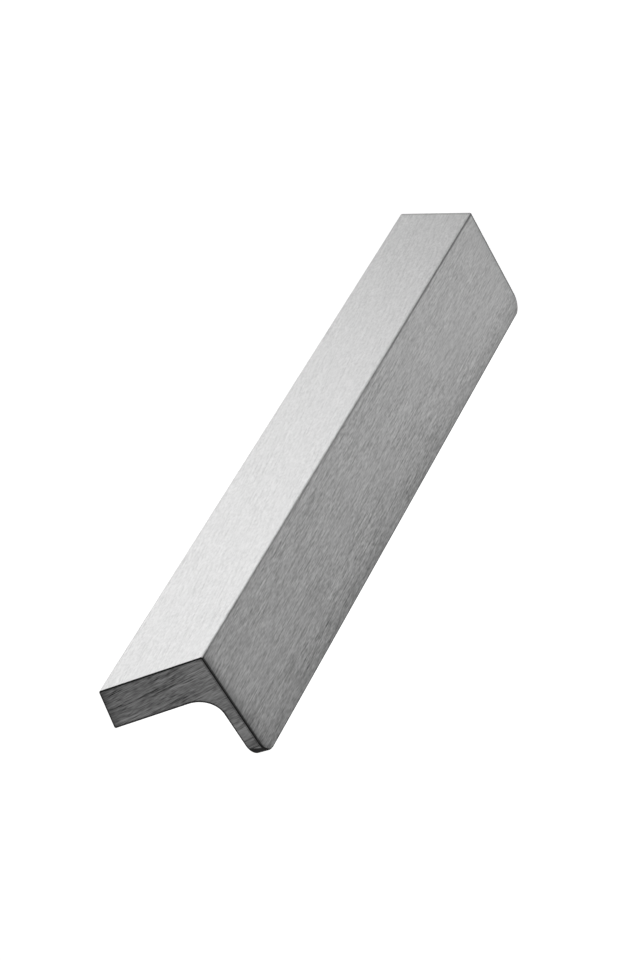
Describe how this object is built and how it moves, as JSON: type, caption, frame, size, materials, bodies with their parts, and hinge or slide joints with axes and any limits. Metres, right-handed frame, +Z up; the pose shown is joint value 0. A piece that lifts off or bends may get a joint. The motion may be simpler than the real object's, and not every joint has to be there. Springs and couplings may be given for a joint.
{
  "type": "edge pull",
  "caption": "L-section edge pull in brushed metal: a thick arm with blind tapped screw holes in its rear face and a thin leaning flange for the fingertips.",
  "frame": {"origin": "centre of the bottom of the bounding box, as the pull lies unheld on its two lower edges, apex up", "axes": "+X along the bar, +Y towards the mounting face, +Z up"},
  "size_m": [0.1996, 0.0338, 0.0186],
  "materials": {
    "pull_bar": "fine brushed along the length, satin"
  },
  "bodies": {
    "root": {"pull_bar": "pull_bar"}
  },
  "joints": []
}
